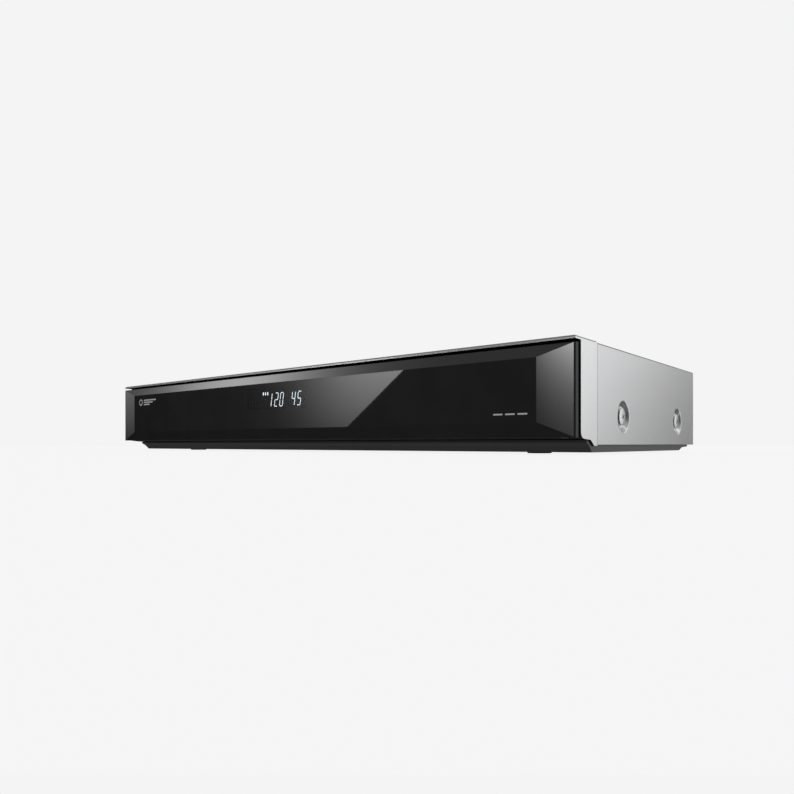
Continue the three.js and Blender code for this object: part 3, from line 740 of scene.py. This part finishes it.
def make_base_shell():
    """Pressed dark tray with a rolled front skirt, stepped rear and pressed ribs in its floor."""
    outer = [(22, 0), (170.4, 0), (177.2, 2.0), (189.7, 2.6), (189.7, 4.3), (198.9, 4.3), (198.9, 8.8)]
    front = [(15.4, 6.3), (15.6, 4.9), (18.5, 3.3), (19.6, 2.3)]
    inside = [(198.1, 8.8), (198.1, 5.1), (188.9, 5.1), (188.9, 3.4), (177.0, 2.8), (170.2, 0.8), (22.4, 0.8),
              (20.2, 2.9), (18.9, 4.0), (16.4, 5.3), (16.2, 6.3)]
    outline = [(front_y + y * MM, base_z + z * MM) for y, z in outer + inside + front]
    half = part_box("base_pan")[1].x
    bm = bmesh.new()
    extruded(bm, outline, "X", -half + 0.8 * MM, half - 0.8 * MM)
    floor = new_object("base_shell", bm, materials["base_metal"])
    wall = [(15.4, 6.3), (15.6, 4.9), (18.5, 3.3), (19.6, 2.3), (22, 0),
            (170.4, 0), (177.2, 2.0), (189.7, 2.6),
            (189.7, 4.3), (198.9, 4.3), (198.9, 8.8), (26.9, 8.8), (26.9, 6.3)]
    for side in (-1, 1):
        bm = bmesh.new()
        xs = sorted((side * half, side * (half - 0.81 * MM)))
        extruded(bm, [(front_y + y * MM, base_z + z * MM) for y, z in wall], "X", *xs)
        flank = new_object("flank", bm, materials["base_metal"])
        joined = floor.modifiers.new("join", "BOOLEAN")
        joined.operation = "UNION"
        joined.solver = "EXACT"
        joined.object = flank
        apply_modifiers(floor)
        bpy.data.objects.remove(flank)
    seats = []
    for name in nodes:
        if name.startswith("foot_"):
            low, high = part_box(name)
            seat = Matrix.Translation(((low.x + high.x) / 2, (low.y + high.y) / 2, high.z))
            seats.append(turned("seat", [(0, -MM), (7.6 * MM, -MM), (7.6 * MM, 0.3 * MM), (0, 0.3 * MM)],
                                materials["base_metal"], 64, seat))
    grooves = []
    for i in range(-4, 5):
        x = i * 42 * MM
        start = front_y + (60 if abs(i) == 4 else 40) * MM
        stop = front_y + (138 if abs(i) == 4 else 158) * MM
        width = 2.2 * MM
        bm = bmesh.new()
        points = arc((x, stop), width, 0, 180, 12) + arc((x, start), width, 180, 360, 12)
        extruded(bm, points, "Z", base_z - MM, base_z + 0.3 * MM)
        grooves.append(new_object("groove", bm, materials["base_metal"]))
    carve(floor, *seats, *grooves)
    bevelled(floor, 0.18 * MM, 2, 20)
    apply_modifiers(floor)
    level_shading(floor)
    place_piece(floor, "root")
    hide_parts("base_pan")


# ---------------------------------------------------------------- cover
def make_cover_shell():
    """Bent sheet with rounded shoulders and a folded hem, holed for its screw dishes."""
    x1 = cover_high.x
    top = cover_high.z
    bottom = cover_low.z
    sheet = 0.8 * MM
    bend = 1.1 * MM
    inner_bend = bend - sheet
    hem = 0.25 * MM
    hem_height = 2.6 * MM
    right_out = [(x1 - 0.12 * MM, bottom), (x1, bottom + 0.12 * MM)]
    right_out += arc((x1 - bend, top - bend), bend, 0, 90, 10)
    right_in = arc((x1 - bend, top - bend), inner_bend, 90, 0, 6)
    right_in += [(x1 - sheet, bottom + hem_height), (x1 - sheet - hem, bottom + hem_height - hem),
                 (x1 - sheet - hem, bottom)]
    left_out = [(-x, z) for x, z in reversed(right_out)]
    left_in = [(-x, z) for x, z in reversed(right_in)]
    outline = right_out + left_out + left_in + right_in
    bm = bmesh.new()
    extruded(bm, outline, "Y", cover_low.y, cover_high.y)
    shell = new_object("cover_shell", bm, materials["cover_metal"])
    cutters = [turned("hole", [(0, -5 * MM), (mouth, -5 * MM), (mouth, 5 * MM), (0, 5 * MM)],
                      materials["cover_metal"], 96, dish_matrix(side, y))
               for side in (-1, 1) for y in screw_ys]
    carve(shell, *cutters)
    bevelled(shell, 0.1 * MM, 2, 60)
    apply_modifiers(shell)
    shell.data.materials.append(painted_shade_edge)
    # Painted shade: the faces of the rounded shoulders take the darker edge paint, a dark line along the
    # bends.
    for face in shell.data.polygons:
        if 0.15 < face.normal.z < 0.99 and face.center.z > top - bend:
            face.material_index = 1
    level_shading(shell)
    place_piece(shell, "root")
    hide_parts("top_cover")


mouth = 9.0 * MM
screw_ys = [(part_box(f"cover_screw_right_{end}")[0].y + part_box(f"cover_screw_right_{end}")[1].y) / 2
            for end in ("front", "rear")]
screw_z = (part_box("cover_screw_right_front")[0].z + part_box("cover_screw_right_front")[1].z) / 2


def dish_matrix(side, y):
    """Local Z points out of the side, with its zero on the cover's face."""
    return (Matrix.Translation((side * half_width, y, screw_z))
            @ Matrix.Rotation(side * math.pi / 2, 4, "Y"))


def make_dish(side, y, name):
    """Pressed dish with a rolled lip, a sloping wall and a flat floor holed for the screw."""
    depth = dish_depth
    floor = 6.0 * MM
    sheet = 0.75 * MM
    hole = 1.8 * MM
    lip = arc((mouth, -0.9 * MM), 0.9 * MM, 90, 140, 6)
    lip[0] = (mouth, 0)
    foot = arc((floor - 0.5 * MM, -depth + 0.8 * MM), 0.8 * MM, -40, -90, 5)
    face = lip + foot + [(hole, -depth)]
    back = [(hole, -depth - sheet), (floor, -depth - sheet), (mouth, -0.95 * MM)]
    profile = face + back
    bm = bmesh.new()
    segments = 96
    rings = [[bm.verts.new((r * math.cos(TAU * i / segments), r * math.sin(TAU * i / segments), z))
              for i in range(segments)] for r, z in profile]
    for ring, after in zip(rings, rings[1:] + rings[:1]):
        for i in range(segments):
            j = (i + 1) % segments
            bm.faces.new((ring[i], ring[j], after[j], after[i]))
    bm.transform(dish_matrix(side, y))
    piece = new_object(name, bm, materials["cover_metal"])
    place_piece(soften(piece, 50), "root")


def cross_cutter(matrix, top, size, width, depth):
    """Tapered cutter with one closed cross outline, for a screw's recess."""
    corner = [(size, -width), (size, width), (width, width)]
    outline = []
    for turn in range(4):
        cosine, sine = (1, 0, -1, 0)[turn], (0, 1, 0, -1)[turn]
        outline += [(x * cosine - y * sine, x * sine + y * cosine) for x, y in corner]
    rows = []
    bm = bmesh.new()
    for z, taper in ((top - depth, 0.6), (top + MM, 1.0)):
        rows.append([bm.verts.new((x * taper, y * taper, z)) for x, y in outline])
    for i in range(len(outline)):
        j = (i + 1) % len(outline)
        bm.faces.new((rows[0][i], rows[0][j], rows[1][j], rows[1][i]))
    for row in rows:
        bm.faces.new(row)
    bm.transform(matrix)
    return new_object("cross", bm, materials["screw_steel"])


def make_screw(name, node, matrix, radius, height, shank):
    """Domed screw with a rolled edge and a cross recess, its head's underside at local zero."""
    dome_radius = radius * 0.97
    dome_fall = radius * 0.12
    angles = [math.radians(degrees) for degrees in range(0, 90, 15)]
    dome = [(dome_radius * math.sin(a), height - dome_fall * (1 - math.cos(a))) for a in angles]
    profile = [(0, -shank), (1.1 * MM, -shank), (1.5 * MM, -shank + 0.5 * MM), (1.5 * MM, 0),
               (radius * 0.96, 0), (radius, height * 0.25), (radius, height * 0.5)]
    profile += list(reversed(dome))
    screw = turned(name, profile, materials["screw_steel"], 64, matrix)
    carve(screw, cross_cutter(matrix, height, radius * 0.42, radius * 0.085, height * 0.95))
    place_piece(soften(screw, 35), "root")
    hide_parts(node)


def make_cover_screws():
    for side, side_name in ((-1, "left"), (1, "right")):
        for y, end in zip(screw_ys, ("front", "rear")):
            node = f"cover_screw_{side_name}_{end}"
            sunk = Matrix.Translation((0, 0, -dish_depth))
            seat = dish_matrix(side, y) @ sunk @ Matrix.Rotation(0.5, 4, "Z")
            make_screw(f"dish_screw_{side_name}_{end}", node, seat, 5.0 * MM, 1.8 * MM, 3.2 * MM)
            make_dish(side, y, f"cover_dish_{side_name}_{end}")


def make_rear_screws():
    for i in range(1, 5):
        node = f"rear_screw_{i}"
        low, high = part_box(node)
        centre = (low + high) / 2
        turn = Matrix.Rotation(-math.pi / 2, 4, "X") @ Matrix.Rotation(0.3 * i, 4, "Z")
        seat = Matrix.Translation((centre.x, high.y - 1.0 * MM, centre.z)) @ turn
        make_screw(f"panel_screw_{i}", node, seat, 3.0 * MM, 1.0 * MM, 6.0 * MM)


# ---------------------------------------------------------------- studio
def emission_material(name, attribute):
    """Light-emitting stage material whose strength is painted on its mesh."""
    material = bpy.data.materials.new(name)
    material.use_nodes = True
    tree = material.node_tree
    tree.nodes.clear()
    out = tree.nodes.new("ShaderNodeOutputMaterial")
    glow = tree.nodes.new("ShaderNodeEmission")
    paint = tree.nodes.new("ShaderNodeAttribute")
    paint.attribute_name = attribute
    tree.links.new(paint.outputs["Color"], glow.inputs["Color"])
    tree.links.new(glow.outputs["Emission"], out.inputs["Surface"])
    return material


glow_material = emission_material("studio_glow", "glow")
card_reach = 5.0


def reflected_card(name, point, normal, xs, zs, light, slant=0.0, steps=(48, 16)):
    """Stage card that one flat facet mirrors to the reference camera.

    xs and zs bound the card's image on the facet, by height and by X, or by Y where the facet faces
    sideways. slant leans its right end, and light(x, z) is its strength at a place on the facet."""
    normal = Vector(normal).normalized()
    point = Vector(point)
    level = Vector((0, 0, 1)).cross(normal).normalized()
    upward = normal.cross(level)
    main = 0 if abs(level.x) > abs(level.y) else 1
    mirrored = camera_place - 2 * (camera_place - point).dot(normal) * normal
    bm = bmesh.new()
    layer = bm.verts.layers.float_color.new("glow")
    rows = []
    for j in range(steps[1] + 1):
        z = zs[0] + (zs[1] - zs[0]) * j / steps[1]
        row = []
        for i in range(steps[0] + 1):
            along = xs[0] + (xs[1] - xs[0]) * i / steps[0] + slant * (z - zs[0]) * i / steps[0]
            on_facet = point + level * ((along - point[main]) / level[main])
            on_facet += upward * ((z - point.z) / upward.z)
            vert = bm.verts.new(mirrored + card_reach * (on_facet - mirrored))
            strength = light(along, z)
            vert[layer] = (strength, strength, strength, 1)
            row.append(vert)
        rows.append(row)
    for lower, upper in zip(rows, rows[1:]):
        for i in range(steps[0]):
            bm.faces.new((lower[i], lower[i + 1], upper[i + 1], upper[i]))
    card = new_object(name, bm, glow_material)
    card.visible_camera = False
    card.visible_diffuse = False
    card.visible_shadow = False
    card.visible_transmission = False
    return card


pane_left = flap_low.x + bevel_side
pane_right = flap_high.x - bevel_side
pane_low = base_z + 7.4 * MM + bevel_bottom
pane_high = flap_high.z - bevel_top
pane_depth = flap_front_y - pane_y


def pane_light(x, z):
    """Brightness behind the slanted edge: rises to the right and upwards."""
    rise = 1.06 / (1 + math.exp(-(x - 53 * MM) / (20 * MM)))
    return 0.02 + 3.9 * rise * (0.5 + 0.5 * (z - base_z - 19 * MM) / (23 * MM))


def top_light(x, z):
    peak = -32 * MM
    spread = (91 if x < peak else 80) * MM
    return 0.36 + 4.4 * math.exp(-((x - peak) / spread) ** 2)


def right_light(x, z):
    height = z - base_z - 15 * MM
    return 0.49 * math.exp(height / (17.5 * MM)) * (1 + 85 * (x - 199 * MM))


def left_light(x, z):
    return 0.25 + 13.7 * (z - base_z - 15 * MM)


def band_light(x, z):
    return 0.42 + 0.16 * math.cos((x - 30 * MM) / (90 * MM))


def side_light(y, z):
    """Falls away to the back and downwards, held within the range of a soft box."""
    depth = y - front_y - 35 * MM
    height = z - base_z - 50 * MM
    value = 1.0 * math.exp(-depth / (140 * MM)) * math.exp(height / (100 * MM))
    on_flap_side = abs(y - front_y - 1.5 * MM) < 2.6 * MM
    return 0.35 if on_flap_side else min(value, 1.08)


def make_cards():
    """Soft boxes that draw the gradients and the slanted edge seen in the glossy front."""
    slant_low = 66.5 * MM
    slant = 45 * MM / (pane_high - pane_low)
    reflected_card("card_pane", (0, pane_y, pane_low), (0, -1, 0), (-140 * MM, slant_low),
                   (pane_low, pane_high), pane_light, slant)
    reflected_card("card_top", (0, pane_y, pane_high), (0, -bevel_top, pane_depth),
                   (flap_low.x - 20 * MM, flap_high.x + 20 * MM),
                   (pane_high - 4 * MM, flap_high.z + 5 * MM), top_light)
    reflected_card("card_right", (pane_right, pane_y, pane_low), (pane_depth, -bevel_side, 0),
                   (pane_right - 3 * MM, flap_high.x + 4 * MM),
                   (base_z + 3 * MM, base_z + 58 * MM), right_light)
    reflected_card("card_left", (pane_left, pane_y, pane_low), (-pane_depth, -bevel_side, 0),
                   (flap_low.x - 3 * MM, pane_left + 3 * MM),
                   (base_z + 3 * MM, base_z + 58 * MM), left_light)
    reflected_card("card_band", (0, front_y, trim_high.z), (0, -1, 0),
                   (flap_low.x - 60 * MM, flap_high.x + 60 * MM),
                   (trim_high.z - 4 * MM, trim_high.z + 25 * MM), band_light)
    reflected_card("card_side", (half_width, front_y, base_z), (1, 0, 0),
                   (front_y - 150 * MM, front_y + 500 * MM),
                   (base_z - 60 * MM, base_z + 120 * MM), side_light, steps=(325, 16))


def area_light(name, place, target, size, power):
    data = bpy.data.lights.new(name, "AREA")
    data.shape = "DISK"
    data.size = size
    data.energy = power
    light = bpy.data.objects.new(name, data)
    light.location = place
    light.rotation_euler = (Vector(target) - Vector(place)).to_track_quat("-Z", "Y").to_euler()
    light.visible_camera = False
    light.visible_glossy = False
    bpy.context.scene.collection.objects.link(light)
    return light


def make_world():
    """Pale backdrop for the camera; for the light, a room that is dark in front and pale above and behind."""
    world = bpy.data.worlds.new("studio")
    bpy.context.scene.world = world
    world.use_nodes = True
    tree = world.node_tree
    tree.nodes.clear()

    def ranged(value, start, end, low, high):
        node = tree.nodes.new("ShaderNodeMapRange")
        node.interpolation_type = "SMOOTHSTEP"
        for socket, number in (("From Min", start), ("From Max", end), ("To Min", low), ("To Max", high)):
            node.inputs[socket].default_value = number
        tree.links.new(value, node.inputs["Value"])
        return node.outputs["Result"]

    def background(strength, color=(1, 1, 1, 1)):
        node = tree.nodes.new("ShaderNodeBackground")
        node.inputs["Color"].default_value = color
        if isinstance(strength, float):
            node.inputs["Strength"].default_value = strength
        else:
            tree.links.new(strength, node.inputs["Strength"])
        return node.outputs[0]

    def mixed(factor, first, second):
        node = tree.nodes.new("ShaderNodeMixShader")
        tree.links.new(factor, node.inputs[0])
        tree.links.new(first, node.inputs[1])
        tree.links.new(second, node.inputs[2])
        return node.outputs[0]

    out = tree.nodes.new("ShaderNodeOutputWorld")
    rays = tree.nodes.new("ShaderNodeLightPath")
    place = tree.nodes.new("ShaderNodeTexCoord")
    parts = tree.nodes.new("ShaderNodeSeparateXYZ")
    tree.links.new(place.outputs["Generated"], parts.inputs[0])
    above = ranged(parts.outputs["Z"], -0.1, 0.5, 0.12, 0.42)
    behind = ranged(parts.outputs["Y"], -0.25, 0.1, 0.05, 1.0)
    product = tree.nodes.new("ShaderNodeMath")
    product.operation = "MULTIPLY"
    tree.links.new(above, product.inputs[0])
    tree.links.new(behind, product.inputs[1])
    glossy = background(product.outputs[0])
    diffuse = background(ranged(parts.outputs["Z"], -0.6, 0.6, 0.22, 0.5))
    seen = background(1.0, (0.905, 0.905, 0.905, 1))
    lit = mixed(rays.outputs["Is Glossy Ray"], diffuse, glossy)
    tree.links.new(mixed(rays.outputs["Is Camera Ray"], lit, seen), out.inputs["Surface"])


def make_floor():
    """Plain pale floor, partly self-lit so that it keeps the backdrop's tone."""
    bm = bmesh.new()
    half = 6.0
    places = ((-half, -half), (half, -half), (half, half), (-half, half))
    corners = [bm.verts.new((x, y, 0)) for x, y in places]
    bm.faces.new(corners)
    material = bpy.data.materials.new("floor")
    material.use_nodes = True
    shader = material.node_tree.nodes["Principled BSDF"]
    shader.inputs["Base Color"].default_value = (0.05, 0.05, 0.05, 1)
    shader.inputs["Roughness"].default_value = 1.0
    shader.inputs["Specular IOR Level"].default_value = 0.0
    shader.inputs["Emission Color"].default_value = (1, 1, 1, 1)
    shader.inputs["Emission Strength"].default_value = 0.878
    floor = new_object("floor", bm, material)
    floor.visible_glossy = False
    floor.visible_diffuse = False


def make_camera():
    data = bpy.data.cameras.new("camera")
    data.sensor_width = sensor_width
    data.lens = focal_length
    data.shift_y = vertical_shift
    data.clip_start = 0.01
    data.dof.use_dof = False
    camera = bpy.data.objects.new("camera", data)
    camera.location = camera_place
    camera.rotation_euler = (math.pi / 2, 0, camera_turn)
    bpy.context.scene.collection.objects.link(camera)
    bpy.context.scene.camera = camera


def make_studio():
    bpy.context.scene.view_settings.view_transform = "Standard"
    make_camera()
    make_world()
    make_floor()
    make_cards()
    area_light("light_top", (0.6, 0.5, 1.7), (0, 0, 0), 0.9, 10)
    area_light("light_rear", (-0.9, 1.6, 0.7), (0, -front_y, 0.03), 0.8, 10)


# ---------------------------------------------------------------- assembly
make_studio()
dress_cad_nodes()
make_flap_shell()
make_knuckle(-1)
make_knuckle(1)
make_print_marks()
make_display_segments()
make_trim_shell()
make_base_shell()
make_cover_shell()
make_cover_screws()
make_rear_screws()
